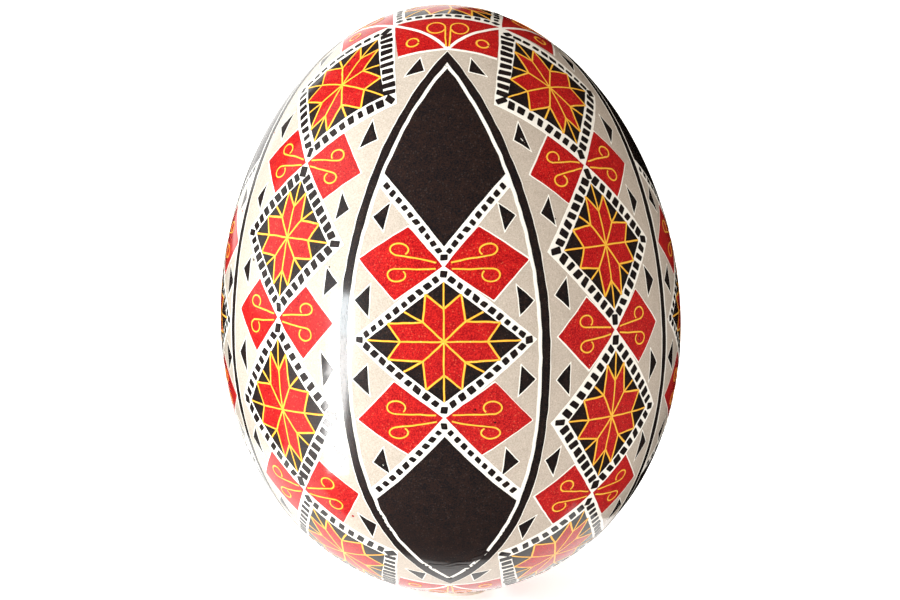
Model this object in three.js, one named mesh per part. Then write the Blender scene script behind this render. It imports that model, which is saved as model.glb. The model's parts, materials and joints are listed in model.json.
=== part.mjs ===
// Decorated hen's egg, blown empty, dyed and varnished.
// Four thin nested shells and the wax plug that stops the blow hole.
// Millimetres, +Z up, blunt end down. The origin is the middle of the plug's flat face.

import * as THREE from 'three';

// --- Driving dimensions -------------------------------------------------------------------

// The finished egg, measured over its varnish.
const eggLength = 57.5;
const eggBreadth = 44.8;
const widestRingDrop = 2.12; // how far the widest ring lies below the middle of the length

// The layers, from outside to inside.
const varnishThickness = 0.08;
const shellThickness = 0.36;
const outerMembraneThickness = 0.05;
const innerMembraneThickness = 0.05;
const layerGap = 0.02; // clearance between one layer and the next

// The pocket of air at the blunt end, which the inner membrane spans.
const airCellDepth = 4.2;

// The hole through which the egg was blown, and the wax that stops it.
const blowHoleDiameter = 2.0;
const plugHeadDiameter = 5.2;
const plugProud = 0.35; // how far the pressed wax stands below the blunt pole
const plugClearance = 0.04;
const plugTipLength = 0.5; // how far the shank reaches past the inside of the shell wall

// How finely the round shapes are cut.
const turnSteps = 32;
const ringSteps = 16;
const seatSteps = 4;

// --- The egg's curve ----------------------------------------------------------------------

const blunting = widestRingDrop / eggLength;

// Radius and height of the varnished surface at an angle from the blunt pole (0) to the tip (PI).
function surfacePoint(angle) {
  const narrowing = Math.sqrt(1 - 4 * blunting * Math.cos(angle) + 4 * blunting * blunting);
  const radius = (eggBreadth / 2) * Math.sin(angle) / narrowing;
  const height = plugProud + (eggLength / 2) * (1 - Math.cos(angle));
  return new THREE.Vector2(radius, height);
}

// The curve's direction from the blunt pole towards the tip.
function surfaceTangent(angle) {
  const step = 1e-4;
  return surfacePoint(angle + step).sub(surfacePoint(angle - step)).normalize();
}

// A point at a depth under the varnished surface, measured square to it.
function pointAtDepth(angle, depth) {
  const tangent = surfaceTangent(angle);
  const inward = new THREE.Vector2(-tangent.y, tangent.x);
  return surfacePoint(angle).addScaledVector(inward, depth);
}

// The angle at which the surface has a given radius, near the blunt pole.
function angleAtRadius(radius) {
  let low = 0;
  let high = Math.PI / 3;
  for (let i = 0; i < 50; i += 1) {
    const middle = (low + high) / 2;
    if (surfacePoint(middle).x < radius) {
      low = middle;
    } else {
      high = middle;
    }
  }
  return (low + high) / 2;
}

const holeAngle = angleAtRadius(blowHoleDiameter / 2);

// Points along one layer's face, from the rim of the blow hole to the tip on the axis.
function faceProfile(depth) {
  const points = [];
  for (let i = 0; i <= ringSteps; i += 1) {
    const angle = THREE.MathUtils.lerp(holeAngle, Math.PI, i / ringSteps);
    points.push(pointAtDepth(angle, depth));
  }
  points[ringSteps].x = 0;
  return points;
}

// --- Depths of the layers -----------------------------------------------------------------

const shellOutside = varnishThickness + layerGap;
const shellInside = shellOutside + shellThickness;
const outerMembraneOutside = shellInside + layerGap;
const outerMembraneInside = outerMembraneOutside + outerMembraneThickness;
const innerMembraneOutside = outerMembraneInside + layerGap;
const innerMembraneInside = innerMembraneOutside + innerMembraneThickness;

// --- Pieces -------------------------------------------------------------------------------

// A solid of revolution about Z, from a profile that starts and ends on the axis.
function turned(profile) {
  const geometry = new THREE.LatheGeometry(profile, turnSteps);
  geometry.rotateX(Math.PI / 2);
  return geometry;
}

// A thin shell with the blow hole at its blunt end: down its inside from the tip, then back up outside.
function shellBetween(outside, inside) {
  return turned([...inside.toReversed(), ...outside]);
}

// The inner membrane lies against the outer one, but runs straight across the air cell.
function acrossAirCell(profile, floorHeight) {
  return profile.map((p) => new THREE.Vector2(p.x, Math.max(p.y, floorHeight)));
}

function innerMembraneGeometry() {
  const floorHeight = pointAtDepth(0, innerMembraneOutside).y + airCellDepth;
  const outside = acrossAirCell(faceProfile(innerMembraneOutside), floorHeight);
  const inside = acrossAirCell(faceProfile(innerMembraneInside), floorHeight + innerMembraneThickness);
  return shellBetween(outside, inside);
}

// The plug is a mushroom: a shank in the hole and a head pressed flat against the varnish.
function plugGeometry() {
  const holeWall = Math.min(pointAtDepth(holeAngle, outerMembraneInside).x, blowHoleDiameter / 2);
  const shankRadius = holeWall * Math.cos(Math.PI / turnSteps) - plugClearance;
  const shankTop = pointAtDepth(holeAngle, outerMembraneInside).y + plugTipLength;
  const rimAngle = angleAtRadius(plugHeadDiameter / 2);
  const shankAngle = angleAtRadius(shankRadius);
  const profile = [new THREE.Vector2(0, 0), new THREE.Vector2(plugHeadDiameter / 2, 0)];
  for (let i = 0; i <= seatSteps; i += 1) {
    const angle = THREE.MathUtils.lerp(rimAngle, shankAngle, i / seatSteps);
    profile.push(pointAtDepth(angle, -plugClearance));
  }
  profile[2].x = plugHeadDiameter / 2;
  profile[profile.length - 1].x = shankRadius;
  profile.push(new THREE.Vector2(shankRadius, shankTop));
  profile.push(new THREE.Vector2(0, shankTop));
  return turned(profile);
}

// --- Assembly -----------------------------------------------------------------------------

const varnish = new THREE.MeshStandardMaterial({ color: 0xd8c9b4, roughness: 0.12, metalness: 0 });
const dyedShell = new THREE.MeshStandardMaterial({ color: 0xc81818, roughness: 0.35, metalness: 0 });
const membrane = new THREE.MeshStandardMaterial({ color: 0xf2ece0, roughness: 0.7, metalness: 0 });
const beeswax = new THREE.MeshStandardMaterial({ color: 0xc9963c, roughness: 0.5, metalness: 0 });

const egg = new THREE.Group();

function addPiece(name, geometry, material) {
  const mesh = new THREE.Mesh(geometry, material);
  mesh.name = name;
  egg.add(mesh);
}

addPiece('varnish_coat', shellBetween(faceProfile(0), faceProfile(varnishThickness)), varnish);
addPiece('eggshell', shellBetween(faceProfile(shellOutside), faceProfile(shellInside)), dyedShell);
addPiece(
  'outer_membrane',
  shellBetween(faceProfile(outerMembraneOutside), faceProfile(outerMembraneInside)),
  membrane,
);
addPiece('inner_membrane', innerMembraneGeometry(), membrane);
addPiece('wax_plug', plugGeometry(), beeswax);

export default egg;
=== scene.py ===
"""Decorated hen's egg: its dyed figures and gloss varnish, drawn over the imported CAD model.

The egg's surface is a curve turned about Z. Figures are laid out in degrees round the egg and in
millimetres along it from the nearer pole, and drawn as thin films on the shell, one piece per dye.
"""

import json
import logging
import math
import random
from collections.abc import Sequence
from dataclasses import dataclass, field
from enum import Enum, IntEnum

import bpy
import numpy as np
from mathutils import Matrix, Vector, noise
from mathutils.geometry import delaunay_2d_cdt

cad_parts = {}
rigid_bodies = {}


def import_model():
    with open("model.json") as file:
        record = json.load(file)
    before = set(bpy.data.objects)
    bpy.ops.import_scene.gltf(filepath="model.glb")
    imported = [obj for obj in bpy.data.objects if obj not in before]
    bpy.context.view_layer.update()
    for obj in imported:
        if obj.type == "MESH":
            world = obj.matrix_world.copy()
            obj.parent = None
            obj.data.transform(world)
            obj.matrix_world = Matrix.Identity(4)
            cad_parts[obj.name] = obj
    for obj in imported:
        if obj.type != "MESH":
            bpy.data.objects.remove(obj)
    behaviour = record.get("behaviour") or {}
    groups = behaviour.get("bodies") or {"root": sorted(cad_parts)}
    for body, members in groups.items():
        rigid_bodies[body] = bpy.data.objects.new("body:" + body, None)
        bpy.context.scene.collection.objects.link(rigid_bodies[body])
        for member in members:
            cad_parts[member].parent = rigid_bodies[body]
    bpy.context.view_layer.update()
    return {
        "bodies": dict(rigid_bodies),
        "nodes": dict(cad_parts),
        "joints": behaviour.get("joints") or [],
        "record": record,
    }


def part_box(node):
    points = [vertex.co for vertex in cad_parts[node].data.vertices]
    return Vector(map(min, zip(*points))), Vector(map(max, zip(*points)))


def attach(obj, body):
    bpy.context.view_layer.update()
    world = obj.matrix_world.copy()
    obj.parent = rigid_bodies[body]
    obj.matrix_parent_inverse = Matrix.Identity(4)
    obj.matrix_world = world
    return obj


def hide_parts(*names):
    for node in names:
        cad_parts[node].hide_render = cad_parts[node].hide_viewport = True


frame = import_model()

LOG = logging.getLogger("decorated_egg")

MM = 0.001  # one millimetre in scene units
Value = "float | tuple | Wire"


# --- Shader maths ---------------------------------------------------------------------------


class Wire:
    """An output socket of a shader tree. Arithmetic on it adds Math nodes."""

    def __init__(self, tree: bpy.types.NodeTree, socket: bpy.types.NodeSocket) -> None:
        """Wraps a socket of a tree."""
        self.tree = tree
        self.socket = socket

    def _math(self, operation: str, first: Value, second: Value) -> "Wire":
        """Adds a Math node for an operation on two values and returns its output."""
        node = self.tree.nodes.new("ShaderNodeMath")
        node.operation = operation
        plug(self.tree, node.inputs[0], first)
        plug(self.tree, node.inputs[1], second)
        return Wire(self.tree, node.outputs[0])

    def __add__(self, other: Value) -> "Wire":
        """Sum."""
        return self._math("ADD", self, other)

    def __radd__(self, other: Value) -> "Wire":
        """Sum with the value first."""
        return self._math("ADD", other, self)

    def __sub__(self, other: Value) -> "Wire":
        """Difference."""
        return self._math("SUBTRACT", self, other)

    def __rsub__(self, other: Value) -> "Wire":
        """Difference with the value first."""
        return self._math("SUBTRACT", other, self)

    def __mul__(self, other: Value) -> "Wire":
        """Product."""
        return self._math("MULTIPLY", self, other)

    def __rmul__(self, other: Value) -> "Wire":
        """Product with the value first."""
        return self._math("MULTIPLY", other, self)

    def __lt__(self, other: Value) -> "Wire":
        """1 where the wire is less than the other value, else 0."""
        return self._math("LESS_THAN", self, other)

    def __gt__(self, other: Value) -> "Wire":
        """1 where the wire is more than the other value, else 0."""
        return self._math("GREATER_THAN", self, other)


def plug(tree: bpy.types.NodeTree, socket: bpy.types.NodeSocket, value: Value) -> None:
    """Links a wire to an input socket, or sets the socket's own value."""
    if isinstance(value, Wire):
        tree.links.new(value.socket, socket)
    else:
        socket.default_value = value


class Shader:
    """One material's node tree, with a gloss coat over whatever colour it is given."""

    def __init__(self, name: str) -> None:
        """Starts an empty node tree for a new material."""
        self.material = bpy.data.materials.new(name)
        self.material.use_nodes = True
        self.tree = self.material.node_tree
        self.tree.nodes.clear()

    def add(self, kind: str, settings: dict, inputs: dict, output: str | int = 0) -> Wire:
        """Adds one node.

        Args:
            kind: The node's type, such as ShaderNodeTexNoise.
            settings: Properties set first; "stops" are a colour ramp's (place, colour) pairs.
            inputs: Values or wires by socket name or number.
            output: Which of its outputs to return.

        Returns:
            The chosen output.
        """
        node = self.tree.nodes.new(kind)
        for key, value in settings.items():
            if key == "stops":
                self._set_stops(node.color_ramp, value)
            else:
                setattr(node, key, value)
        for key, value in inputs.items():
            plug(self.tree, node.inputs[key], value)
        return Wire(self.tree, node.outputs[output])

    @staticmethod
    def _set_stops(ramp: bpy.types.ColorRamp, stops: Sequence[tuple]) -> None:
        """Gives a colour ramp its stops."""
        while len(ramp.elements) < len(stops):
            ramp.elements.new(1.0)
        for element, (place, colour) in zip(ramp.elements, stops):
            element.position = place
            element.color = (*colour, 1.0)

    def place(self) -> Wire:
        """The point on the piece, in metres in the egg's frame."""
        return self.add("ShaderNodeTexCoord", {}, {}, "Object")

    def grain(self, size: float, detail: float = 2.0, stretch: tuple = (1.0, 1.0, 1.0)) -> Wire:
        """Smooth noise from 0 to 1.

        Args:
            size: The size of its blotches in metres.
            detail: How many finer octaves are added.
            stretch: How much it is squeezed along X, Y and Z.
        """
        placed = self.add("ShaderNodeMapping", {}, {"Vector": self.place(), "Scale": stretch})
        return self.add(
            "ShaderNodeTexNoise", {}, {"Vector": placed, "Scale": 1.0 / size, "Detail": detail}, "Fac"
        )

    def dots(self, spacing: float, radius: float) -> Wire:
        """1 inside small scattered dots, else 0.

        Args:
            spacing: The mean distance between dots in metres.
            radius: A dot's radius as a share of the spacing.
        """
        inputs = {"Vector": self.place(), "Scale": 1.0 / spacing}
        distance = self.add("ShaderNodeTexVoronoi", {}, inputs, "Distance")
        return distance < radius

    def mix(self, share: Value, first: Value, second: Value) -> Wire:
        """Blends two colours."""
        node = self.tree.nodes.new("ShaderNodeMix")
        node.data_type = "RGBA"
        plug(self.tree, node.inputs["Factor"], share)
        plug(self.tree, node.inputs[6], first)
        plug(self.tree, node.inputs[7], second)
        return Wire(self.tree, node.outputs[2])

    def bump(self, height: Wire, depth: float, strength: float = 1.0) -> Wire:
        """Turns a height from 0 to 1 into a surface normal, with its depth in metres."""
        inputs = {"Height": height, "Distance": depth, "Strength": strength}
        return self.add("ShaderNodeBump", {}, inputs, "Normal")

    def finish(self, inputs: dict) -> bpy.types.Material:
        """Ends the tree with a Principled shader that has the given inputs."""
        surface = self.add("ShaderNodeBsdfPrincipled", {}, inputs)
        output = self.tree.nodes.new("ShaderNodeOutputMaterial")
        self.tree.links.new(surface.socket, output.inputs["Surface"])
        return self.material


# --- Finishes -------------------------------------------------------------------------------


@dataclass(frozen=True)
class Varnish:
    """The gloss varnish that lies over every dye."""

    weight: float = 1.0
    roughness: float = 0.11
    ior: float = 1.45
    pore_spacing: float = 0.22 * MM
    pore_radius: float = 0.3
    pore_depth: float = 0.55  # how much of the gloss a pore loses

    def inputs(self) -> dict:
        """The coat's even sockets on a Principled shader."""
        return {"Coat Roughness": self.roughness, "Coat IOR": self.ior}


@dataclass(frozen=True)
class Dye:
    """A dye stain in the shell under the varnish. Colours are linear RGB."""

    name: str
    tint: tuple[float, float, float]
    shade: tuple[float, float, float]
    rim: tuple[float, float, float]
    fleck: tuple[float, float, float]
    rim_share: float = 0.0
    fleck_spacing: float = 0.30 * MM
    fleck_radius: float = 0.24
    fleck_share: float = 0.5
    blotch: float = 1.1 * MM
    speckle: float = 0.13 * MM
    contrast: float = 3.6  # how strongly the fine speckle shows
    roughness: float = 0.42
    base_gloss: float = 0.1
    varnish: Varnish = field(default_factory=Varnish)

    def material(self) -> bpy.types.Material:
        """Builds the material: blotchy, speckled stain, a darker rim, and flecks over the pores."""
        shader = Shader(self.name)
        coarse = shader.grain(self.blotch, 3.0)
        fine = shader.grain(self.speckle, 1.0)
        share = (fine - 0.5) * self.contrast + (coarse - 0.5) * 0.8 + 0.6
        colour = shader.mix(share, (*self.shade, 1.0), (*self.tint, 1.0))
        if self.rim_share:
            edge = shader.add("ShaderNodeAttribute", {"attribute_name": "rim"}, {}, "Fac")
            colour = shader.mix(edge * self.rim_share, colour, (*self.rim, 1.0))
        flecks = shader.dots(self.fleck_spacing, self.fleck_radius) * (coarse > 0.46)
        colour = shader.mix(flecks * self.fleck_share, colour, (*self.fleck, 1.0))
        relief = shader.bump(fine * 0.6 + coarse * 0.4, 0.012 * MM, 0.8)
        rough = fine * 0.12 + (self.roughness - 0.06)
        pores = shader.dots(self.varnish.pore_spacing, self.varnish.pore_radius)
        coat = self.varnish.weight - pores * self.varnish.pore_depth
        return shader.finish({
            "Base Color": colour, "Roughness": rough, "Specular IOR Level": self.base_gloss,
            "Normal": relief, "Coat Weight": coat, **self.varnish.inputs(),
        })


WHITE_LINE = Dye(
    "undyed_white_line", (0.92, 0.90, 0.84), (0.84, 0.80, 0.72), (0.86, 0.80, 0.70), (0.95, 0.93, 0.88),
    contrast=0.6,
)
PALE_GROUND = Dye(
    "pale_ground", (0.52, 0.45, 0.38), (0.42, 0.36, 0.30), (0.5, 0.4, 0.3), (0.62, 0.54, 0.46),
    fleck_share=0.6, blotch=0.9 * MM, contrast=3.2,
)
RED = Dye(
    "red_dye", (0.55, 0.012, 0.010), (0.25, 0.001, 0.004), (0.36, 0.002, 0.004), (0.62, 0.10, 0.05),
    rim_share=0.35, fleck_share=0.5,
)
BLACK = Dye(
    "black_dye", (0.026, 0.013, 0.010), (0.005, 0.006, 0.008), (0.004, 0.004, 0.005), (0.052, 0.040, 0.034),
    rim_share=0.5, fleck_share=0.5,
)
YELLOW = Dye(
    "yellow_dye", (0.95, 0.72, 0.07), (0.82, 0.46, 0.04), (0.72, 0.17, 0.02), (0.95, 0.82, 0.35),
    rim_share=0.85, fleck_share=0.3, blotch=0.7 * MM, contrast=0.8,
)


@dataclass(frozen=True)
class Beeswax:
    """Pressed bleached beeswax, dull and nearly white."""

    tint: tuple[float, float, float] = (0.90, 0.87, 0.80)
    shade: tuple[float, float, float] = (0.80, 0.76, 0.66)

    def material(self) -> bpy.types.Material:
        """Builds the wax material."""
        shader = Shader("beeswax")
        cloud = shader.grain(1.2 * MM, 3.0)
        relief = shader.bump(shader.grain(0.3 * MM), 0.02 * MM)
        colour = shader.mix(cloud, (*self.shade, 1.0), (*self.tint, 1.0))
        return shader.finish({"Base Color": colour, "Roughness": cloud * 0.2 + 0.4, "Normal": relief})


@dataclass(frozen=True)
class Membrane:
    """Dry shell membrane: a matt felt of fine fibres."""

    tint: tuple[float, float, float] = (0.84, 0.79, 0.70)
    shade: tuple[float, float, float] = (0.70, 0.64, 0.54)

    def material(self) -> bpy.types.Material:
        """Builds the membrane material."""
        shader = Shader("membrane")
        fibres = shader.grain(0.5 * MM, 4.0, (1.0, 1.0, 5.0))
        relief = shader.bump(fibres, 0.02 * MM)
        colour = shader.mix(fibres, (*self.shade, 1.0), (*self.tint, 1.0))
        return shader.finish({"Base Color": colour, "Roughness": fibres * 0.2 + 0.6, "Normal": relief})


# --- The egg's surface ----------------------------------------------------------------------


class End(Enum):
    """The two poles of the egg."""

    TIP = 1.0
    BLUNT = -1.0


class EggSurface:
    """The varnished surface, turned about Z. Points are in millimetres from the egg's centre."""

    def __init__(self, length: float, breadth: float, widest_drop: float) -> None:
        """Takes the egg's length, breadth, and how far its widest ring lies below the middle."""
        self.length = length
        self.breadth = breadth
        self.widest_drop = widest_drop
        angles = np.linspace(0.0, math.pi, 4001)
        self._heights = -0.5 * length * np.cos(angles)
        self._radii = self.radius_at(self._heights)
        steps = np.hypot(np.diff(self._radii), np.diff(self._heights))
        self._arcs = np.concatenate(([0.0], np.cumsum(steps)))
        self.half_arc = self._arcs[-1] / 2

    def _swelling(self, heights: np.ndarray) -> np.ndarray:
        """How much wider than an ellipsoid the egg is at each height, squared."""
        drop = self.widest_drop / self.length
        return 1.0 / (1.0 + 8.0 * drop * heights / self.length + 4.0 * drop * drop)

    def radius_at(self, heights: np.ndarray) -> np.ndarray:
        """The egg's radius at heights above its centre."""
        inside = np.maximum(0.0, 1.0 - 4.0 * heights**2 / self.length**2)
        return 0.5 * self.breadth * np.sqrt(inside * self._swelling(heights))

    def point(self, azimuth: float, arc: float, end: End) -> np.ndarray:
        """The point at an azimuth in degrees, from -Y towards +X, and at an arc from a pole."""
        from_blunt = arc if end is End.BLUNT else self._arcs[-1] - arc
        height = np.interp(from_blunt, self._arcs, self._heights)
        radius = np.interp(from_blunt, self._arcs, self._radii)
        turn = math.radians(azimuth)
        return np.array((radius * math.sin(turn), -radius * math.cos(turn), height))

    def width_at(self, arc: float, end: End) -> float:
        """The egg's radius at an arc from a pole."""
        from_blunt = arc if end is End.BLUNT else self._arcs[-1] - arc
        return float(np.interp(from_blunt, self._arcs, self._radii))

    def project(self, points: np.ndarray) -> np.ndarray:
        """Moves points along their rays from the centre onto the surface."""
        rays = points / np.linalg.norm(points, axis=1, keepdims=True)
        reach = np.full(len(rays), self.breadth / 2)
        for _ in range(9):
            swelling = self._swelling(reach * rays[:, 2])
            across = (rays[:, 0] ** 2 + rays[:, 1] ** 2) / (0.25 * self.breadth**2 * swelling)
            along = rays[:, 2] ** 2 / (0.25 * self.length**2)
            reach = 1.0 / np.sqrt(across + along)
        return rays * reach[:, None]

    def normals(self, points: np.ndarray) -> np.ndarray:
        """Outward normals at points on the surface."""
        drop, size = self.widest_drop, self.length
        taper = size**2 + 8.0 * drop * points[:, 2] + 4.0 * drop**2
        ring = points[:, 0] ** 2 + points[:, 1] ** 2
        slope = 8.0 * drop * ring + 2.0 * self.breadth**2 * points[:, 2]
        normals = np.stack((2.0 * points[:, 0] * taper, 2.0 * points[:, 1] * taper, slope), axis=1)
        return normals / np.linalg.norm(normals, axis=1, keepdims=True)


@dataclass(frozen=True)
class Drift:
    """How far the hand set a panel's figures off the even design, in millimetres."""

    east: float = 0.0  # towards greater azimuths, at the widest ring
    rise: float = 0.0  # towards the tip, most at half height
    reach: float = 10.0  # how far above and below half height the rise holds

    def moved(self, egg: EggSurface, point: np.ndarray) -> np.ndarray:
        """A point of the design where the hand put it."""
        ring = max(1e-6, math.hypot(point[0], point[1]))
        east = np.array((-point[1] / ring, point[0] / ring, 0.0))
        north = np.cross(egg.normals(point[None])[0], east)
        aside = self.east * ring / (egg.breadth / 2)
        rise = self.rise * math.exp(-((point[2] / self.reach) ** 2))
        return egg.project((point + east * aside + north * rise)[None])[0]


@dataclass
class Hand:
    """The decorator's hand: where drawn figures really land on the egg."""

    egg: EggSurface
    base: float  # height of the egg's centre above the frame's origin, in millimetres
    lean: float = 1.8  # degrees by which the drawn axis leans to +X at the tip
    turn: float = -1.0  # degrees by which the drawing is turned about the egg's axis
    sway: float = 0.2  # how far a line strays over a few millimetres, at the back of the egg
    sway_size: float = 5.0
    tremor: float = 0.045  # how far it trembles over a fraction of a millimetre
    tremor_size: float = 0.9
    relief: float = 0.016  # slow unevenness of the shell itself
    relief_size: float = 7.0

    def _stray(self, points: np.ndarray, size: float, reach: float) -> np.ndarray:
        """A smooth random shift at each point."""
        return np.array([noise.noise_vector(Vector(p / size)) for p in points]) * reach

    def uneven(self, points: np.ndarray) -> np.ndarray:
        """How far the shell's surface stands off its ideal curve at each point."""
        return np.array([noise.noise(Vector(p / self.relief_size)) for p in points]) * self.relief

    def settle(self, points: np.ndarray, lift: np.ndarray) -> np.ndarray:
        """Drawn points, swayed, turned, leaned and shaken, on the shell with a lift, in scene units."""
        loose = np.clip(0.5 + points[:, 1:2] / self.egg.breadth, 0.15, 1.0)
        swayed = points + self._stray(points, self.sway_size, self.sway) * loose
        turned = swayed @ np.array(Matrix.Rotation(math.radians(self.turn), 3, "Z")).T
        leaned = turned @ np.array(Matrix.Rotation(math.radians(self.lean), 3, "Y")).T
        shaken = leaned + self._stray(leaned + 31.0, self.tremor_size, self.tremor)
        return self.lay(shaken, lift)

    def lay(self, points: np.ndarray, lift: np.ndarray) -> np.ndarray:
        """Points on the uneven shell with a lift, in scene units in the egg's frame."""
        laid = self.egg.project(points)
        height = lift + self.uneven(laid)
        laid = laid + self.egg.normals(laid) * height[:, None]
        laid[:, 2] += self.base
        return laid * MM


class Chart:
    """A flat map of the egg around one point, on which great arcs are straight lines."""

    def __init__(self, egg: EggSurface, middle: np.ndarray) -> None:
        """Centres the map on a point of the surface."""
        self.egg = egg
        self.reach = float(np.linalg.norm(middle))
        self.up = middle / self.reach
        east = np.cross((0.0, 0.0, 1.0), self.up)
        if np.linalg.norm(east) < 1e-6:
            east = np.array((1.0, 0.0, 0.0))
        self.east = east / np.linalg.norm(east)
        self.north = np.cross(self.up, self.east)

    def flatten(self, points: np.ndarray) -> np.ndarray:
        """Surface points to map points in millimetres."""
        points = np.atleast_2d(points)
        depth = points @ self.up
        flat = np.stack((points @ self.east, points @ self.north), axis=1)
        return flat * (self.reach / depth)[:, None]

    def lift(self, flat: np.ndarray) -> np.ndarray:
        """Map points to points on the surface."""
        flat = np.atleast_2d(flat)
        rays = self.up * self.reach + flat[:, :1] * self.east + flat[:, 1:] * self.north
        return self.egg.project(rays)


# --- Outlines on a map ----------------------------------------------------------------------

GRID = 0.55  # the largest step of the drawn films, in millimetres


def unit(vector: np.ndarray) -> np.ndarray:
    """A vector's direction."""
    return vector / max(1e-12, float(np.linalg.norm(vector)))


def turned_left(outline: np.ndarray) -> np.ndarray:
    """The outline, running anticlockwise."""
    following = np.roll(outline, -1, axis=0)
    area = np.sum(outline[:, 0] * following[:, 1] - following[:, 0] * outline[:, 1])
    return outline if area > 0 else outline[::-1]


def outset(outline: np.ndarray, distance: float) -> np.ndarray:
    """A convex outline with each side moved out by a distance, or in by a negative one."""
    outline = turned_left(outline)
    grown = []
    for before, corner, after in zip(np.roll(outline, 1, axis=0), outline, np.roll(outline, -1, axis=0)):
        first, second = unit(corner - before), unit(after - corner)
        out_first = np.array((first[1], -first[0]))
        out_second = np.array((second[1], -second[0]))
        middle = unit(out_first + out_second)
        stretch = min(3.0, 1.0 / max(0.2, float(middle @ out_first)))
        grown.append(corner + middle * distance * stretch)
    return np.array(grown)


def rounded(outline: np.ndarray, radius: float) -> np.ndarray:
    """The outline with its corners eased."""
    points = []
    for before, corner, after in zip(np.roll(outline, 1, axis=0), outline, np.roll(outline, -1, axis=0)):
        reach = min(radius, 0.3 * np.linalg.norm(corner - before), 0.3 * np.linalg.norm(after - corner))
        start = corner + unit(before - corner) * reach
        stop = corner + unit(after - corner) * reach
        for share in (0.0, 0.35, 0.65, 1.0):
            points.append(
                start * (1 - share) ** 2 + corner * 2 * share * (1 - share) + stop * share**2
            )
    return np.array(points)


def stepped(outline: np.ndarray, step: float) -> np.ndarray:
    """A closed outline with no side longer than a step."""
    points = []
    for corner, after in zip(outline, np.roll(outline, -1, axis=0)):
        count = max(1, math.ceil(np.linalg.norm(after - corner) / step))
        points.extend(corner + (after - corner) * (i / count) for i in range(count))
    return np.array(points)


def inner_grid(outline: np.ndarray, step: float) -> np.ndarray:
    """Points of a triangular grid inside an outline and clear of it."""
    low, high = outline.min(axis=0), outline.max(axis=0)
    rows = np.arange(low[1], high[1], step * 0.866)
    columns = np.arange(low[0], high[0], step)
    grid = np.array([(x + (i % 2) * step / 2, y) for i, y in enumerate(rows) for x in columns])
    if len(grid) == 0:
        return grid.reshape(0, 2)
    x, y = grid[:, :1], grid[:, 1:]
    after = np.roll(outline, -1, axis=0)
    spans = (outline[:, 1] > y) != (after[:, 1] > y)
    rise = np.where(after[:, 1] == outline[:, 1], 1e-9, after[:, 1] - outline[:, 1])
    crossing = (after[:, 0] - outline[:, 0]) * (y - outline[:, 1]) / rise + outline[:, 0]
    inside = np.sum(spans & (x < crossing), axis=1) % 2 == 1
    clear = np.hypot(x - outline[:, 0], y - outline[:, 1]).min(axis=1) > 0.5 * step
    return grid[inside & clear]


def great_arc(start: np.ndarray, stop: np.ndarray, step: float = 0.45) -> np.ndarray:
    """Points from start to stop, both included, along the great arc between their rays."""
    count = max(2, math.ceil(np.linalg.norm(stop - start) / step) + 1)
    share = np.linspace(0.0, 1.0, count)[:, None]
    return unit(start) * (1 - share) + unit(stop) * share


# --- Films of dye ---------------------------------------------------------------------------


class Layer(IntEnum):
    """The order in which films lie over each other, lowest first."""

    HALO = 1
    FIELD = 2
    BAND = 3
    INNER = 4
    PETAL = 5
    LINE = 6
    DASH = 7


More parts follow.
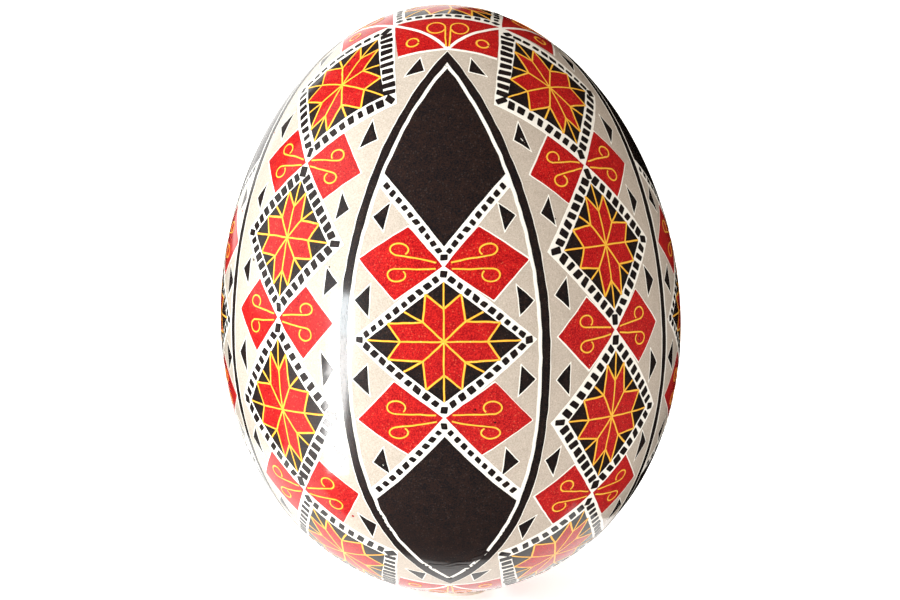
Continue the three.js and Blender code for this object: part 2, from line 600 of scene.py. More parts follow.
class Film:
    """Gathers the figures of one dye and makes them one thin closed piece."""

    STEP_UP = 0.007  # each layer's lift over the one below, in millimetres
    THICKNESS = 0.04

    def __init__(self, name: str, hand: Hand) -> None:
        """Starts an empty film."""
        self.name = name
        self.hand = hand
        self.points: list[np.ndarray] = []
        self.lifts: list[np.ndarray] = []
        self.rims: list[np.ndarray] = []
        self.faces: list[tuple[int, ...]] = []
        self.count = 0
        self.figures = 0

    def _add(self, points: np.ndarray, faces: Sequence, rims: np.ndarray, layer: Layer) -> None:
        """Adds one figure's points and faces. No two figures share quite the same lift."""
        lift = self.STEP_UP * (layer + 0.11 * (self.figures % 7))
        self.faces.extend(tuple(self.count + i for i in face) for face in faces)
        self.points.append(points)
        self.lifts.append(np.full(len(points), lift))
        self.rims.append(rims)
        self.count += len(points)
        self.figures += 1

    def fill(self, chart: Chart, outline: np.ndarray, layer: Layer, ease: float = 0.12) -> None:
        """Fills an outline on a map with small triangles that follow the egg.

        Args:
            chart: The map.
            outline: The corners, in millimetres on the map.
            layer: Where the figure lies in the order of films.
            ease: How far the corners are rounded.
        """
        outline = turned_left(np.asarray(outline, dtype=float))
        if ease:
            outline = rounded(outline, ease)
        loop = stepped(outline, GRID)
        flat = np.vstack((loop, inner_grid(loop, GRID)))
        edges = [(i, (i + 1) % len(loop)) for i in range(len(loop))]
        verts, _, faces, origins, _, _ = delaunay_2d_cdt([Vector(p) for p in flat], edges, [], 1, 1e-6)
        flat = np.array([(v.x, v.y) for v in verts])
        rims = np.array([1.0 if min(source, default=0) < len(loop) else 0.0 for source in origins])
        ordered = []
        for a, b, c in faces:
            lean = np.cross(flat[b] - flat[a], flat[c] - flat[a])
            ordered.append((a, b, c) if lean > 0 else (a, c, b))
        self._add(chart.lift(flat), ordered, rims, layer)

    def blot(self, chart: Chart, outline: np.ndarray, layer: Layer, ease: float = 0.08) -> None:
        """Fills a small convex outline with a fan of triangles."""
        loop = rounded(turned_left(np.asarray(outline, dtype=float)), ease)
        flat = np.vstack((loop.mean(axis=0), loop))
        count = len(loop)
        faces = [(0, i + 1, (i + 1) % count + 1) for i in range(count)]
        rims = np.concatenate(([0.0], np.ones(count)))
        self._add(chart.lift(flat), faces, rims, layer)

    def stroke(
        self, path: np.ndarray, width: float, layer: Layer, closed: bool = False, offset: float = 0.0,
        crown: float = 0.0,
    ) -> None:
        """Draws a line of a given width, with mitred corners.

        Args:
            path: Points near the surface.
            width: The line's width in millimetres.
            layer: Where it lies in the order of films.
            closed: Whether the last point joins the first.
            offset: How far the line lies to the left of the path.
            crown: How far its middle stands above its edges.
        """
        path = self.hand.egg.project(np.asarray(path, dtype=float))
        before = np.roll(path, 1, axis=0)
        after = np.roll(path, -1, axis=0)
        if not closed:
            before[0], after[-1] = path[0] * 2 - path[1], path[-1] * 2 - path[-2]
        ups = self.hand.egg.normals(path)
        left_in = np.array([unit(v) for v in np.cross(ups, path - before)])
        left_out = np.array([unit(v) for v in np.cross(ups, after - path)])
        left = np.array([unit(v) for v in left_in + left_out])
        stretch = 1.0 / np.maximum(0.3, np.sum(left * left_out, axis=1))
        swell = 1.0 + 0.16 * np.array([noise.noise(Vector(p / 1.3)) for p in path])
        side = left * (stretch * swell * width / 2)[:, None]
        path = path + left * (stretch * offset)[:, None]
        points = np.stack((path + side, path, path - side), axis=1).reshape(-1, 3)
        rims = np.tile((1.0, 0.0, 1.0), len(path))
        faces = []
        for i in range(len(path) if closed else len(path) - 1):
            here, there = 3 * i, 3 * ((i + 1) % len(path))
            faces.append((here + 2, there + 2, there + 1, here + 1))
            faces.append((here + 1, there + 1, there, here))
        self._add(points, faces, rims, layer)
        self.lifts[-1][1::3] += crown

    def build(self, material: bpy.types.Material) -> bpy.types.Object:
        """Makes the film's piece: its faces on the shell, given a thickness into the shell."""
        placed = self.hand.settle(np.vstack(self.points), np.concatenate(self.lifts))
        mesh = bpy.data.meshes.new(self.name)
        mesh.from_pydata(placed.tolist(), [], self.faces)
        rim = mesh.attributes.new("rim", "FLOAT", "POINT")
        rim.data.foreach_set("value", np.concatenate(self.rims))
        piece = bpy.data.objects.new(self.name, mesh)
        bpy.context.scene.collection.objects.link(piece)
        mesh.materials.append(material)
        choose(piece)
        bpy.ops.object.modifier_add(type="SOLIDIFY")
        solidify = piece.modifiers[-1]
        solidify.thickness = self.THICKNESS * MM
        solidify.offset = -1.0
        bpy.ops.object.modifier_apply(modifier=solidify.name)
        bpy.ops.object.shade_smooth_by_angle(angle=math.radians(40))
        LOG.info("%s: %d figures, %d faces", self.name, self.figures, len(mesh.polygons))
        return piece


def choose(piece: bpy.types.Object) -> None:
    """Makes one object the only selected and the active one."""
    if bpy.context.object and bpy.context.object.mode != "OBJECT":
        bpy.ops.object.mode_set(mode="OBJECT")
    bpy.ops.object.select_all(action="DESELECT")
    piece.select_set(True)
    bpy.context.view_layer.objects.active = piece


@dataclass
class Inks:
    """The films that the figures are drawn with, and the hand's small accidents."""

    white: Film
    red: Film
    black: Film
    yellow: Film
    chance: random.Random = field(default_factory=lambda: random.Random(11))

    def stray(self, outline: np.ndarray, reach: float) -> np.ndarray:
        """The outline with each corner missed by up to a reach."""
        return np.array([p + [self.chance.uniform(-reach, reach) for _ in p] for p in outline])


# --- Figures --------------------------------------------------------------------------------


LINE = 0.17  # the width of the white lines round frames, in millimetres


@dataclass(frozen=True)
class Ladder:
    """A row of small black dashes between two white lines."""

    dash_width: float
    dash_length: float
    count: int

    def dash(
        self, inks: Inks, chart: Chart, spot: np.ndarray, along: np.ndarray, size: float = 1.0
    ) -> None:
        """Draws one dash at a map point."""
        along = unit(along)
        across = np.array((-along[1], along[0]))
        half_length = along * self.dash_length * size / 2 * inks.chance.uniform(0.82, 1.16)
        half_width = across * self.dash_width * size / 2 * inks.chance.uniform(0.88, 1.12)
        skew = along * self.dash_length * inks.chance.uniform(-0.12, 0.12)
        corners = [
            spot - half_length - half_width - skew, spot + half_length - half_width - skew,
            spot + half_length + half_width + skew, spot - half_length + half_width + skew,
        ]
        inks.black.blot(chart, inks.stray(corners, 0.035), Layer.DASH, 0.13)

    def row(self, inks: Inks, chart: Chart, start: np.ndarray, stop: np.ndarray) -> None:
        """Draws the dashes between two map points, clear of both ends."""
        for i in range(1, self.count + 1):
            self.dash(inks, chart, start + (stop - start) * (i / (self.count + 1)), stop - start)


LENS_LADDER = Ladder(dash_width=0.62, dash_length=0.62, count=10)
LENS_LOW_LADDER = Ladder(dash_width=0.64, dash_length=0.66, count=9)
WIDE_LADDER = Ladder(dash_width=1.18, dash_length=0.54, count=10)
SMALL_LADDER = Ladder(dash_width=0.52, dash_length=0.72, count=9)
COLUMN_LADDER = Ladder(dash_width=0.92, dash_length=0.68, count=8)
POLE_LADDER = Ladder(dash_width=0.55, dash_length=0.62, count=9)


@dataclass(frozen=True)
class Star:
    """Eight petals in a four-cornered frame. Places are shares of the frame's half diagonals."""

    axis_notch: float = 0.54
    side_notch: tuple[float, float] = (0.26, 0.33)
    first_tip: tuple[float, float] = (0.22, 0.79)
    second_tip: tuple[float, float] = (0.71, 0.30)
    line_width: float = 0.19

    def draw(
        self, inks: Inks, chart: Chart, outer: np.ndarray, inner: np.ndarray, ladders: Sequence[Ladder]
    ) -> None:
        """Draws the frame with its dashes and the star inside.

        Args:
            inks: The films.
            chart: A map centred on the star's middle.
            outer: The frame's outer top, right, bottom and left corners.
            inner: Its inner corners.
            ladders: The dashes along its upper right, lower right, lower left and upper left sides.
        """
        inks.white.fill(chart, outset(outer, LINE / 2), Layer.BAND, 0.0)
        inks.black.fill(chart, inner, Layer.INNER, 0.0)
        centre = (outer + inner) / 2
        for i, ladder in enumerate(ladders):
            ladder.row(inks, chart, centre[i], centre[(i + 1) % 4])
            ladders[i].dash(inks, chart, centre[i], centre[(i + 1) % 4] - centre[i - 1], 1.1)
        top, right, bottom, left = inner
        for side, upright in ((right, top), (right, bottom), (left, bottom), (left, top)):
            self._quarter(inks, chart, side, upright)
        for arm in inner:
            path = chart.lift(np.linspace(arm * 0.0, arm * 0.99, 14))
            inks.yellow.stroke(path, self.line_width * 0.9, Layer.LINE)

    def _quarter(self, inks: Inks, chart: Chart, side: np.ndarray, upright: np.ndarray) -> None:
        """Draws two petals, their outlines and the ray between them."""

        def spot(across: float, up: float) -> np.ndarray:
            """A map point by its shares of the two half diagonals."""
            stray = [inks.chance.uniform(-0.07, 0.07) for _ in range(2)]
            return side * across + upright * up + np.array(stray)

        middle = np.zeros(2)
        notch_up, notch_side = upright * self.axis_notch, side * self.axis_notch
        notch = spot(*self.side_notch)
        tips = (spot(*self.first_tip), spot(*self.second_tip))
        inks.red.fill(chart, np.array((middle, notch_up, tips[0], notch)), Layer.PETAL, 0.0)
        inks.red.fill(chart, np.array((middle, notch, tips[1], notch_side)), Layer.PETAL, 0.0)
        ray = (side + upright) * 0.495
        for line in ((notch_up, tips[0], notch, tips[1], notch_side), (middle, notch, ray)):
            for start, stop in zip(line, line[1:]):
                count = max(2, math.ceil(np.linalg.norm(stop - start) / 0.4) + 1)
                path = chart.lift(np.linspace(start, stop, count))
                inks.yellow.stroke(path, self.line_width, Layer.LINE)


@dataclass(frozen=True)
class HornPair:
    """Two ram's horns on stems that rise side by side. Places are shares of the field."""

    stem_start: float = 0.09
    stem_spread: float = 0.14
    loop_middle: tuple[float, float] = (0.53, 0.34)
    loop_radius: tuple[float, float] = (0.105, 0.165)
    last_turn: float = 225.0
    line_width: float = 0.16

    def draw(
        self, inks: Inks, chart: Chart, near: np.ndarray, far: np.ndarray, sides: Sequence[np.ndarray]
    ) -> None:
        """Draws both horns from a near corner towards a far one, one to each side corner."""
        axis = far - near
        for side in sides:
            reach = side - near
            across = reach - axis * float(reach @ axis) / float(axis @ axis)
            path = [(self.stem_start, self.stem_spread * 0.6)]
            path.append((self.loop_middle[0] * 0.5, self.stem_spread * 0.95))
            for degrees in np.linspace(-90.0, self.last_turn, 26):
                turn = math.radians(degrees)
                path.append((
                    self.loop_middle[0] + self.loop_radius[0] * math.cos(turn),
                    self.loop_middle[1] + self.loop_radius[1] * math.sin(turn),
                ))
            points = np.array([near + axis * along + across * out for along, out in path])
            start = np.linspace(points[0], points[1], 8)[:-1]
            stem = np.linspace(points[1], points[2], 8)[:-1]
            line = chart.lift(np.vstack((start, stem, points[2:])))
            inks.yellow.stroke(line, self.line_width, Layer.LINE)


@dataclass(frozen=True)
class Lozenge:
    """A red four-cornered field beside a crossing, with ram's horns."""

    halo: float = 0.11
    horns: HornPair = HornPair()

    def draw(self, inks: Inks, egg: EggSurface, corners: Sequence[np.ndarray]) -> None:
        """Draws the field from its near, side, far and other side corners."""
        chart = Chart(egg, egg.project(np.mean(corners, axis=0)[None])[0])
        flat = chart.flatten(np.array(corners))
        inks.white.fill(chart, outset(flat, self.halo), Layer.HALO)
        inks.red.fill(chart, inks.stray(flat, 0.06), Layer.FIELD)
        self.horns.draw(inks, chart, flat[0], flat[2], (flat[1], flat[3]))


@dataclass(frozen=True)
class Tooth:
    """A small black triangle with a white outline."""

    halo: float = 0.10
    miss: float = 0.08

    def draw(self, inks: Inks, egg: EggSurface, corners: Sequence[np.ndarray]) -> None:
        """Draws the triangle."""
        chart = Chart(egg, egg.project(np.mean(corners, axis=0)[None])[0])
        flat = inks.stray(chart.flatten(np.array(corners)), self.miss)
        inks.white.fill(chart, outset(flat, self.halo), Layer.HALO, 0.1)
        inks.black.fill(chart, flat, Layer.FIELD, 0.06)


# --- The panels -----------------------------------------------------------------------------


@dataclass
class Lens:
    """One of four pointed panels from near one pole to near the other."""

    egg: EggSurface
    azimuth: float
    drift: Drift
    apex: float = 12.05  # arc from the pole to the point of the outline's middle
    half_width: float = 9.42
    line_width: float = 0.80
    white_width: float = 1.25
    skew: float = 0.03  # share of its half width by which the outline bulges less towards +azimuth
    line_offset: float = 0.115  # how far the black line lies outside the white one's middle
    crossing: float = 33.4  # arc from the pole to each crossing
    cap_tip: float = 31.7  # arc from the pole to the cap's point
    shoulder: float = 24.3  # arc from the pole at which the cap meets the outline
    valley: float = 25.4  # arc from the pole at which the band below it meets the outline
    star_side: float = 22.0  # degrees from the panel's middle to the star frame's outer side corners
    star_inner_side: float = 18.4
    star_inner_crossing: float = 34.8
    roundness = {End.TIP: 1.83, End.BLUNT: 2.5}
    teeth = (
        ((14.5, 27.6), (18.7, 28.8), (15.4, 30.2)),
        ((17.8, 35.3), (21.9, 36.7), (18.2, 38.1)),
    )
    lozenge = ((0.0, 33.4), (9.0, 29.7), (21.3, 32.9), (11.9, 36.6))

    def spread(self, arc: float, end: End) -> float:
        """Degrees from the panel's middle to its outline at an arc from a pole."""
        share = (self.egg.half_arc - arc) / (self.egg.half_arc - self.apex)
        width = self.half_width * (1.0 - min(1.0, max(0.0, share)) ** self.roundness[end])
        return math.degrees(width / self.egg.width_at(arc, end))

    def at(self, degrees: float, arc: float, end: End) -> np.ndarray:
        """A point of the panel, where the hand put it."""
        return self.drift.moved(self.egg, self.egg.point(self.azimuth + degrees, arc, end))

    def edge(self, sign: float, arc: float, end: End) -> np.ndarray:
        """A point of the outline's middle."""
        return self.egg.point(self.azimuth + (sign - self.skew) * self.spread(arc, end), arc, end)

    def _side(self, sign: float, end: End, start: float, stop: float) -> list[np.ndarray]:
        """Points down one side of the outline between two arcs from a pole."""
        count = max(3, math.ceil(abs(stop - start) / 0.5))
        arcs = np.linspace(start, stop, count)
        return [self.edge(sign, arc, end) for arc in arcs]

    def draw(self, inks: Inks) -> None:
        """Draws the outline, the two black caps, the star and what lies between."""
        self._outline(inks)
        for end in End:
            self._cap(inks, end)
            for sign in (-1.0, 1.0):
                corners = [self.at(sign * degrees, arc, end) for degrees, arc in self.lozenge]
                Lozenge().draw(inks, self.egg, corners)
                for tooth in self.teeth:
                    Tooth().draw(inks, self.egg, [self.at(sign * d, arc, end) for d, arc in tooth])
        chart = Chart(self.egg, self.at(0.0, self.egg.half_arc, End.TIP))
        outer, inner = (
            chart.flatten(np.array((
                self.at(0.0, arc, End.TIP), self.at(side, self.egg.half_arc, End.TIP),
                self.at(0.0, arc, End.BLUNT), self.at(-side, self.egg.half_arc, End.TIP),
            )))
            for arc, side in ((self.crossing, self.star_side), (self.star_inner_crossing, self.star_inner_side))
        )
        Star().draw(inks, chart, outer, inner, (LENS_LADDER, LENS_LOW_LADDER, LENS_LOW_LADDER, LENS_LADDER))

    def _outline(self, inks: Inks) -> None:
        """Draws the black line round the panel with a white line on either side."""
        half = self.egg.half_arc
        gap = self.apex + 0.75
        path = [self.edge(0.0, self.apex, End.TIP)]
        path += self._side(1.0, End.TIP, gap, half)[:-1] + self._side(1.0, End.BLUNT, half, gap)
        path += [self.edge(0.0, self.apex, End.BLUNT)]
        path += self._side(-1.0, End.BLUNT, gap, half)[:-1] + self._side(-1.0, End.TIP, half, gap)
        inks.white.stroke(np.array(path), self.white_width, Layer.BAND, closed=True)
        inks.black.stroke(np.array(path), self.line_width, Layer.DASH, closed=True, offset=self.line_offset)

    def _cap(self, inks: Inks, end: End) -> None:
        """Draws a black cap and the two rows of dashes below it."""
        crossing, tip = self.at(0.0, self.crossing, end), self.at(0.0, self.cap_tip, end)
        outline = self._side(1.0, end, self.shoulder, self.apex + 0.2)
        outline += self._side(-1.0, end, self.apex + 0.2, self.shoulder) + [tip]
        chart = Chart(self.egg, self.at(0.0, 0.5 * (self.apex + self.crossing), end))
        inks.black.fill(chart, chart.flatten(np.array(outline)), Layer.FIELD, 0.0)
        for sign in (-1.0, 1.0):
            valley, shoulder = self.edge(sign, self.valley, end), self.edge(sign, self.shoulder, end)
            band = chart.flatten(np.array((crossing, valley, shoulder, tip)))
            inks.white.fill(chart, outset(band, LINE / 2), Layer.BAND, 0.0)
            start, stop = (band[0] + band[3]) / 2, (band[1] + band[2]) / 2
            LENS_LADDER.row(inks, chart, start, stop - unit(stop - start) * self.white_width / 2)
        LENS_LADDER.dash(inks, chart, start, chart.flatten(self.at(5.0, self.cap_tip, end))[0] - band[3], 1.15)


@dataclass
class StarColumn:
    """One of four chains of star frames from pole to pole, between two lenses."""

    egg: EggSurface
    azimuth: float
    drift: Drift
    first_lozenge = ((0.0, 24.4), (10.5, 21.1), (19.8, 24.9), (9.4, 27.95))
    middle_lozenge = ((0.0, 40.34), (8.4, 36.95), (16.9, 40.34))
    # Each frame's outer top, side and bottom corners, its inner ones, and its star's middle.
    frames = (
        (((0.0, 7.4), (26.5, 17.6), (0.0, 24.4)), ((0.0, 9.9), (21.0, 16.9), (0.0, 22.25)), 16.0),
        (((0.0, 24.4), (18.0, 32.4), (0.0, 40.34)), ((0.0, 26.25), (13.5, 32.4), (0.0, 38.4)), 32.3),
    )
    teeth = (
        ((31.8, 12.1), (26.9, 14.4), (34.4, 13.75)),
        ((19.4, 19.6), (22.7, 21.4), (17.6, 22.5)),
        ((15.4, 27.1), (18.4, 28.7), (14.9, 29.9)),
        ((13.9, 34.9), (17.3, 36.4), (13.7, 37.8)),
    )

    def at(self, degrees: float, arc: float, end: End) -> np.ndarray:
        """A point of the column, where the hand put it."""
        return self.drift.moved(self.egg, self.egg.point(self.azimuth + degrees, arc, end))

    def _frame(self, inks: Inks, end: End, frame: tuple, upper: tuple[Ladder, Ladder]) -> None:
        """Draws one star frame.

        Args:
            inks: The films.
            end: The nearer pole.
            frame: Its outer corners, inner corners and middle.
            upper: The dashes of its right and left sides towards the pole.
        """
        *rims, middle = frame
        chart = Chart(self.egg, self.at(0.0, middle, end))
        outer, inner = (
            chart.flatten(np.array([
                self.at(*top, end), self.at(*side, end), self.at(*bottom, end), self.at(-side[0], side[1], end)
            ]))
            for top, side, bottom in rims
        )
        Star().draw(inks, chart, outer, inner, (upper[0], COLUMN_LADDER, COLUMN_LADDER, upper[1]))

    def draw(self, inks: Inks) -> None:
        """Draws the column's frames, lozenges and teeth."""
        wide_left = (self.azimuth // 90.0) % 2 == 0
        polar = (SMALL_LADDER, WIDE_LADDER) if wide_left else (WIDE_LADDER, SMALL_LADDER)
        for end in End:
            self._frame(inks, end, self.frames[0], polar)
            self._frame(inks, end, self.frames[1], (COLUMN_LADDER, COLUMN_LADDER))
            for sign in (-1.0, 1.0):
                corners = [self.at(sign * degrees, arc, end) for degrees, arc in self.first_lozenge]
                Lozenge().draw(inks, self.egg, corners)
                for tooth in self.teeth:
                    Tooth().draw(inks, self.egg, [self.at(sign * d, arc, end) for d, arc in tooth])
        for sign in (-1.0, 1.0):
            near, upper, far = [self.at(sign * d, arc, End.TIP) for d, arc in self.middle_lozenge]
            lower = self.at(sign * self.middle_lozenge[1][0], self.middle_lozenge[1][1], End.BLUNT)
            Lozenge().draw(inks, self.egg, (near, upper, far, lower))


@dataclass
class Pole:
    """The figures round one pole: a star in a square, and red fields between it and the lenses."""

    egg: EggSurface
    end: End
    corner: float = 7.4
    inner_corner: float = 5.9
    cusp: float = 10.75  # arc from the pole to where two curved lines cross above each lens
    cusp_width: float = 14.0  # degrees over which the curved lines fall away from the cusp
    low_corner: tuple[float, float] = (24.5, 12.2)
    arc_width: float = 0.34
    edge_width: float = 0.22
    ring: tuple[float, float] = (20.5, 10.05)
    ring_radius: float = 0.6
    horns: HornPair = HornPair(0.08, 0.10, (0.70, 0.44), (0.20, 0.34), 250.0, 0.17)

    def at(self, azimuth: float, arc: float) -> np.ndarray:
        """A point near the pole."""
        return self.egg.point(azimuth, arc, self.end)

    def curve(self, azimuth: float, start: float, stop: float) -> list[np.ndarray]:
        """Points of a curved line between two azimuths counted from a lens's middle."""
        points = []
        for degrees in np.linspace(start, stop, 2 + math.ceil(abs(stop - start) / 3.0)):
            arc = self.corner + (self.cusp - self.corner) * math.exp(-abs(degrees) / self.cusp_width)
            points.append(self.at(azimuth + degrees, arc))
        return points

    def draw(self, inks: Inks) -> None:
        """Draws the polar square with its star, and the fields at its four sides."""
        chart = Chart(self.egg, self.egg.point(0.0, 0.0, self.end))
        outer, inner = (
            turned_left(chart.flatten(np.array([
                self.at(azimuth, arc) for azimuth in (45.0, 135.0, 225.0, 315.0)
            ])))
            for arc in (self.corner, self.inner_corner)
        )
        Star().draw(inks, chart, outer, inner, (POLE_LADDER,) * 4)
        for azimuth in (0.0, 90.0, 180.0, 270.0):
            self._side(inks, azimuth)

    def _side(self, inks: Inks, azimuth: float) -> None:
        """Draws the three red fields between one side of the square and a lens."""
        chart = Chart(self.egg, self.at(azimuth, 9.0))
        full = chart.flatten(np.array(self.curve(azimuth, -45.0, 45.0)))
        inks.red.fill(chart, full, Layer.FIELD, 0.0)
        near, far = chart.flatten(np.array((
            self.at(azimuth, self.cusp), self.at(azimuth, 5.9),
        )))
        sides = chart.flatten(np.array([self.at(azimuth + d, 7.6) for d in (-20, 20)]))
        self.horns.draw(inks, chart, near, far, sides)
        for sign in (-1.0, 1.0):
            inks.white.stroke(
                np.array(self.curve(azimuth, 0.0, sign * 45.0)), self.arc_width, Layer.BAND
            )
            low = self.at(azimuth + sign * self.low_corner[0], self.low_corner[1])
            outline = chart.flatten(np.array(self.curve(azimuth, 0.0, sign * 45.0) + [low]))
            inks.red.fill(chart, outline, Layer.FIELD, 0.0)
            lower_edge = great_arc(self.at(azimuth, self.cusp), low)
            inks.white.stroke(lower_edge, self.edge_width, Layer.BAND)
            middle = chart.flatten(self.at(azimuth + sign * self.ring[0], self.ring[1]))[0]
            ring = [
                middle + np.array((math.cos(turn), math.sin(turn))) * self.ring_radius
                for turn in np.linspace(0.0, 1.9 * math.pi, 18)
            ]
            inks.yellow.stroke(chart.lift(np.array(ring)), 0.18, Layer.LINE)


@dataclass
class Specks:
    """Stray dots of dye that dripped between the figures."""

    egg: EggSurface
    count: int = 40
    seed: int = 5

    def draw(self, inks: Inks) -> None:
        """Draws the dots, at places that are the same each time."""
        chance = random.Random(self.seed)
        places = []
        for _ in range(self.count):
            end = chance.choice((End.TIP, End.BLUNT))
            places.append((chance.uniform(0.0, 360.0), chance.uniform(13.0, 40.0), end))
        for azimuth, arc, end in places:
            chart = Chart(self.egg, self.egg.point(azimuth, arc, end))
            radius = chance.uniform(0.07, 0.14)
            ring = [
                (radius * math.cos(t) * chance.uniform(0.8, 1.2), radius * math.sin(t))
                for t in np.linspace(0.0, 2.0 * math.pi, 7)[:-1]
            ]
            ink = chance.choice((inks.black, inks.black, inks.red))
            ink.blot(chart, np.array(ring), Layer.FIELD, 0.02)


@dataclass
class VarnishRun:
    """Fine wrinkles where the varnish sagged on the front lens's lower cap."""

    egg: EggSurface
    width: float = 0.42
    crown: float = 0.022  # how far a wrinkle's middle stands up
    wrinkles = (
        ((-7.0, 15.6), (-2.0, 15.5), (3.0, 16.2), (7.0, 16.2), (10.0, 16.6), (12.5, 17.3)),
        ((-8.0, 15.7), (-4.0, 15.2), (1.0, 15.3), (3.0, 15.6), (7.0, 15.6)),
        ((-7.0, 15.1), (-2.0, 14.9), (2.0, 15.0)),
        ((8.0, 16.8), (11.0, 17.2), (13.0, 18.0)),
        ((9.0, 17.8), (12.5, 18.3)),
        ((4.0, 15.2), (8.0, 15.3)),
    )

    def draw(self, inks: Inks) -> None:
        """Draws the wrinkles, low ridges in the black field."""
        for places in self.wrinkles:
            spots = [self.egg.point(azimuth, arc, End.BLUNT) for azimuth, arc in places]
            path = [spots[0]]
            for start, stop in zip(spots, spots[1:]):
                path.extend(np.linspace(start, stop, 5)[1:])
            inks.black.stroke(np.array(path), self.width, Layer.BAND, crown=self.crown)


# --- Solid pieces ---------------------------------------------------------------------------


@dataclass
class ShellWall:
    """The shell with its pale ground, one turned wall with the blow hole at its blunt end."""

    egg: EggSurface
    hand: Hand
    wall: float = 0.46
    hole_radius: float = 1.0
    rings: int = 170
    inner_rings: int = 60
    turns: int = 256

    def _profile(self) -> list[tuple[float, float, float]]:
        """Half the wall's outline: inside from the tip to the hole, then outside back to the tip."""
        start = math.asin(self.hole_radius / (self.egg.breadth / 2))
        profile = []
        for depth, count, reverse in ((self.wall, self.inner_rings, True), (0.0, self.rings, False)):
            angles = np.linspace(start, math.pi, count + 1)
            heights = -0.5 * self.egg.length * np.cos(angles)
            radii = self.egg.radius_at(heights)
            face = np.stack((radii, np.zeros_like(radii), heights), axis=1)
            face = face - self.egg.normals(face) * depth
            face[-1, 0] = 0.0
            profile.extend(face[::-1] if reverse else face)
        return [(float(x), 0.0, float(z)) for x, _, z in profile]

    def build(self, material: bpy.types.Material) -> bpy.types.Object:
        """Spins the profile about Z, closes its seam and poles, and lays it on the uneven shell."""
        profile = self._profile()
        mesh = bpy.data.meshes.new("shell_wall")
        mesh.from_pydata(profile, [(i, i + 1) for i in range(len(profile) - 1)], [])
        piece = bpy.data.objects.new("shell_wall", mesh)
        bpy.context.scene.collection.objects.link(piece)
        choose(piece)
        bpy.ops.object.mode_set(mode="EDIT")
        bpy.ops.mesh.select_all(action="SELECT")
        bpy.ops.mesh.spin(
            steps=self.turns, angle=2 * math.pi, center=(0, 0, 0), axis=(0, 0, 1), use_auto_merge=True
        )
        bpy.ops.mesh.select_all(action="SELECT")
        bpy.ops.mesh.remove_doubles(threshold=0.0004)
        bpy.ops.mesh.normals_make_consistent(inside=False)
        bpy.ops.object.mode_set(mode="OBJECT")
        self._place(mesh)
        mesh.materials.append(material)
        bpy.ops.object.shade_smooth_by_angle(angle=math.radians(40))
        LOG.info("shell_wall: %d faces", len(mesh.polygons))
        return piece

    def _place(self, mesh: bpy.types.Mesh) -> None:
        """Moves the mesh into the frame, its outer face following the shell's unevenness."""
        points = np.empty(len(mesh.vertices) * 3)
        mesh.vertices.foreach_get("co", points)
        points = points.reshape(-1, 3)
        surface = self.egg.project(points)
        outside = np.linalg.norm(surface - points, axis=1) < self.wall / 2
        placed = points.copy()
        placed[:, 2] += self.hand.base
        placed *= MM
        placed[outside] = self.hand.lay(points[outside], np.zeros(int(outside.sum())))
        mesh.vertices.foreach_set("co", placed.ravel())
        mesh.update()


# --- Studio ---------------------------------------------------------------------------------


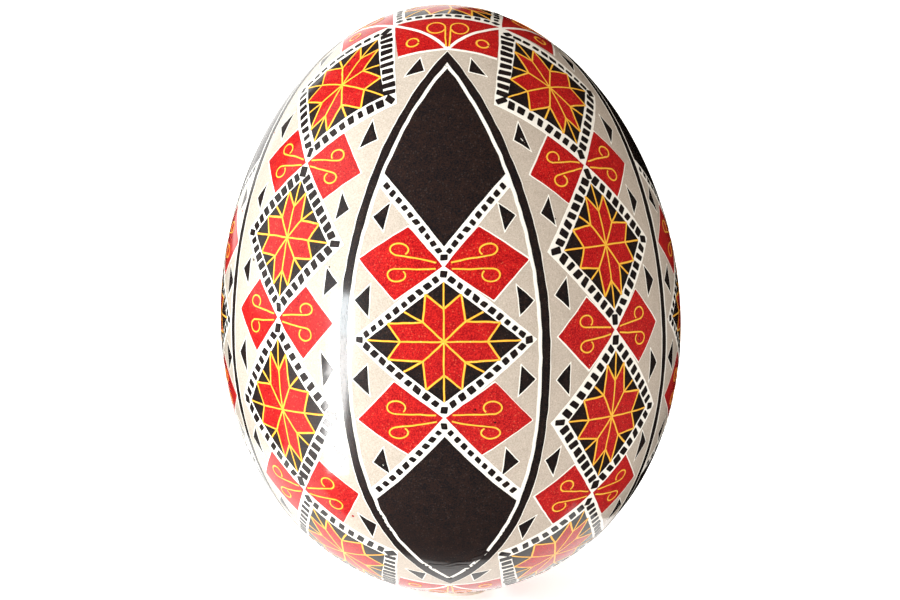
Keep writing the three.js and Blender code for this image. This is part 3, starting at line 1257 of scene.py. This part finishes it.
@dataclass
class Studio:
    """Pale floor, soft light from the left, cards that the varnish mirrors, and the camera."""

    aim: Vector
    camera_elevation: float = 9.0
    camera_distance: float = 0.300
    camera_roll: float = 2.09
    focal_length: float = 122.8
    white: float = 1.25  # radiance of the cards behind the egg
    grey: float = 0.8  # radiance of those on its left
    window: float = 26.0  # radiance of the narrow bright strip on the left
    window_side: float = -53.5  # its azimuth
    window_half: float = 5.5  # half its width in degrees

    def _direction(self, azimuth: float, elevation: float) -> Vector:
        """The direction from the egg to a place round it, azimuth counted from -Y towards +X."""
        turn, rise = math.radians(azimuth), math.radians(elevation)
        return Vector((math.sin(turn) * math.cos(rise), -math.cos(turn) * math.cos(rise), math.sin(rise)))

    def floor(self) -> None:
        """Makes the floor, a wide white sheet, a little overexposed."""
        bpy.ops.object.select_all(action="DESELECT")
        bpy.ops.mesh.primitive_circle_add(vertices=96, radius=1.6, fill_type="NGON", location=(0, 0, 0))
        floor = bpy.context.object
        floor.name = "floor"
        shader = Shader("floor")
        cloud = shader.grain(0.2, 1.0)
        colour = shader.mix(cloud, (0.9, 0.9, 0.9, 1.0), (0.93, 0.93, 0.93, 1.0))
        floor.data.materials.append(shader.finish({
            "Base Color": colour, "Roughness": 0.8, "Emission Color": (1.0, 1.0, 1.0, 1.0),
            "Emission Strength": 0.6,
        }))
        floor.visible_glossy = False

    def card(self, name: str, corners: Sequence[tuple[float, float, float]], radiance: float) -> None:
        """Adds a flat bright card that only the varnish's reflections see."""
        mesh = bpy.data.meshes.new(name)
        mesh.from_pydata(list(corners), [], [tuple(range(len(corners)))])
        card = bpy.data.objects.new(name, mesh)
        bpy.context.scene.collection.objects.link(card)
        shader = Shader(name)
        material = shader.finish({
            "Base Color": (0.0, 0.0, 0.0, 1.0), "Specular IOR Level": 0.0,
            "Emission Color": (1.0, 0.99, 0.97, 1.0), "Emission Strength": radiance,
        })
        material.cycles.emission_sampling = "NONE"
        mesh.materials.append(material)
        card.visible_camera = False
        card.visible_diffuse = False
        card.visible_shadow = False
        card.visible_transmission = False

    def sector(self, name: str, sides: tuple[float, float], reach: tuple[float, float], radiance: float) -> None:
        """Lays a card on the floor between two azimuths and two distances from the egg."""
        low = 0.0008 if radiance < self.window else 0.0011
        places = []
        for side, far in ((0, 0), (1, 0), (1, 1), (0, 1)):
            place = self._direction(sides[side], 0.0) * reach[far]
            places.append((place.x, place.y, low))
        self.card(name, places, radiance)

    def cards(self) -> None:
        """Places the cards: white behind the egg, grey on its left, and the strip's light on the floor."""
        low, front = 0.0005, -0.0128
        floor = ((-0.045, front, low), (0.020, front, low), (0.020, 0.9, low), (-0.045, 0.9, low))
        back = ((-0.7, 0.9, low), (0.05, 0.9, low), (0.05, 0.9, 0.7), (-0.7, 0.9, 0.7))
        left = ((-0.6, -0.5, low), (-0.6, 0.3, low), (-0.6, 0.3, 0.7), (-0.6, -0.5, 0.7))
        self.card("card_floor", floor, self.white)
        self.card("card_back", back, self.white)
        self.card("card_left", left, self.grey)
        self.sector("card_floor_left", (-45.0, -85.0), (0.034, 0.6), self.grey)
        strip = (self.window_side - self.window_half, self.window_side + self.window_half)
        self.sector("card_window", strip, (0.034, 0.55), self.window)

    def light(
        self, azimuth: float, elevation: float, distance: float, size: tuple, radiance: float, mirrored: bool
    ) -> None:
        """Adds a soft rectangular light that faces the egg.

        Args:
            azimuth: Degrees from -Y towards +X.
            elevation: Degrees above the floor.
            distance: How far it stands from the egg.
            size: Its width and height.
            radiance: How bright its face is.
            mirrored: Whether the varnish mirrors it.
        """
        data = bpy.data.lights.new("softbox", "AREA")
        data.shape = "RECTANGLE"
        data.size, data.size_y = size
        data.energy = radiance * math.pi * size[0] * size[1]
        data.color = (0.92, 0.98, 1.0)
        lamp = bpy.data.objects.new("softbox", data)
        bpy.context.scene.collection.objects.link(lamp)
        lamp.visible_glossy = mirrored
        direction = self._direction(azimuth, elevation)
        lamp.location = self.aim + direction * distance
        lamp.rotation_euler = direction.to_track_quat("Z", "Y").to_euler()

    def world(self, radiance: float) -> None:
        """Makes the room's even light."""
        world = bpy.data.worlds.new("room")
        bpy.context.scene.world = world
        world.use_nodes = True
        background = world.node_tree.nodes["Background"]
        background.inputs["Color"].default_value = (1.0, 0.90, 0.80, 1.0)
        background.inputs["Strength"].default_value = radiance
        world.cycles_visibility.glossy = False

    def camera(self) -> None:
        """Makes the camera, rolled a little as the egg leans to the left in its view."""
        data = bpy.data.cameras.new("camera")
        data.lens = self.focal_length
        data.sensor_width = 36.0
        data.clip_start = 0.01
        view = bpy.data.objects.new("camera", data)
        bpy.context.scene.collection.objects.link(view)
        direction = self._direction(0.0, self.camera_elevation)
        view.location = self.aim + direction * self.camera_distance
        level = direction.to_track_quat("Z", "Y").to_matrix()
        view.rotation_euler = (level @ Matrix.Rotation(math.radians(-self.camera_roll), 3, "Z")).to_euler()
        bpy.context.scene.camera = view

    def build(self) -> None:
        """Sets up the whole studio."""
        self.floor()
        self.cards()
        self.world(0.74)
        self.light(self.window_side, 2.0, 0.60, (0.115, 0.12), self.window, True)
        self.light(-74.0, 14.0, 0.9, (1.1, 1.5), 5.0, False)
        self.camera()
        bpy.context.scene.view_settings.view_transform = "Standard"



# --- Assembly -------------------------------------------------------------------------------


def measure() -> EggSurface:
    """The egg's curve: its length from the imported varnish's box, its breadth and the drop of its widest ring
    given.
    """
    low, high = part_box("varnish_coat")
    return EggSurface(length=(high[2] - low[2]) / MM, breadth=44.8, widest_drop=2.12)


def main() -> None:
    """Builds every piece in order."""
    logging.basicConfig(level=logging.INFO, format="%(name)s %(message)s")
    low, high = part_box("varnish_coat")
    egg = measure()
    hand = Hand(egg, base=(low[2] + high[2]) / 2 / MM)
    Studio(aim=Vector((0.0, 0.0, hand.base * MM))).build()

    shell = ShellWall(egg, hand).build(PALE_GROUND.material())
    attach(shell, "root")
    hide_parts("eggshell", "varnish_coat")

    inks = Inks(*(Film(name, hand) for name in ("white_lines", "red_dye", "black_dye", "yellow_lines")))
    for azimuth, drift in ((0.0, Drift(-0.3, 0.25)), (90.0, Drift()), (180.0, Drift()), (270.0, Drift())):
        Lens(egg, azimuth, drift).draw(inks)
        LOG.info("lens at %d degrees drawn", azimuth)
    for azimuth, drift in (
        (45.0, Drift(-0.5, 0.3)), (135.0, Drift()), (225.0, Drift()), (315.0, Drift(0.05, 1.5)),
    ):
        StarColumn(egg, azimuth, drift).draw(inks)
        LOG.info("star column at %d degrees drawn", azimuth)
    for end in End:
        Pole(egg, end).draw(inks)
    Specks(egg).draw(inks)
    VarnishRun(egg).draw(inks)
    for film, dye in ((inks.white, WHITE_LINE), (inks.red, RED), (inks.black, BLACK), (inks.yellow, YELLOW)):
        piece = film.build(dye.material())
        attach(piece, "root")

    for node, finish in (("outer_membrane", Membrane()), ("inner_membrane", Membrane()), ("wax_plug", Beeswax())):
        slots = bpy.data.objects[node].material_slots
        material = finish.material()
        for slot in slots:
            slot.material = material
        LOG.info("%s dressed", node)


if __name__ == "__main__":
    main()
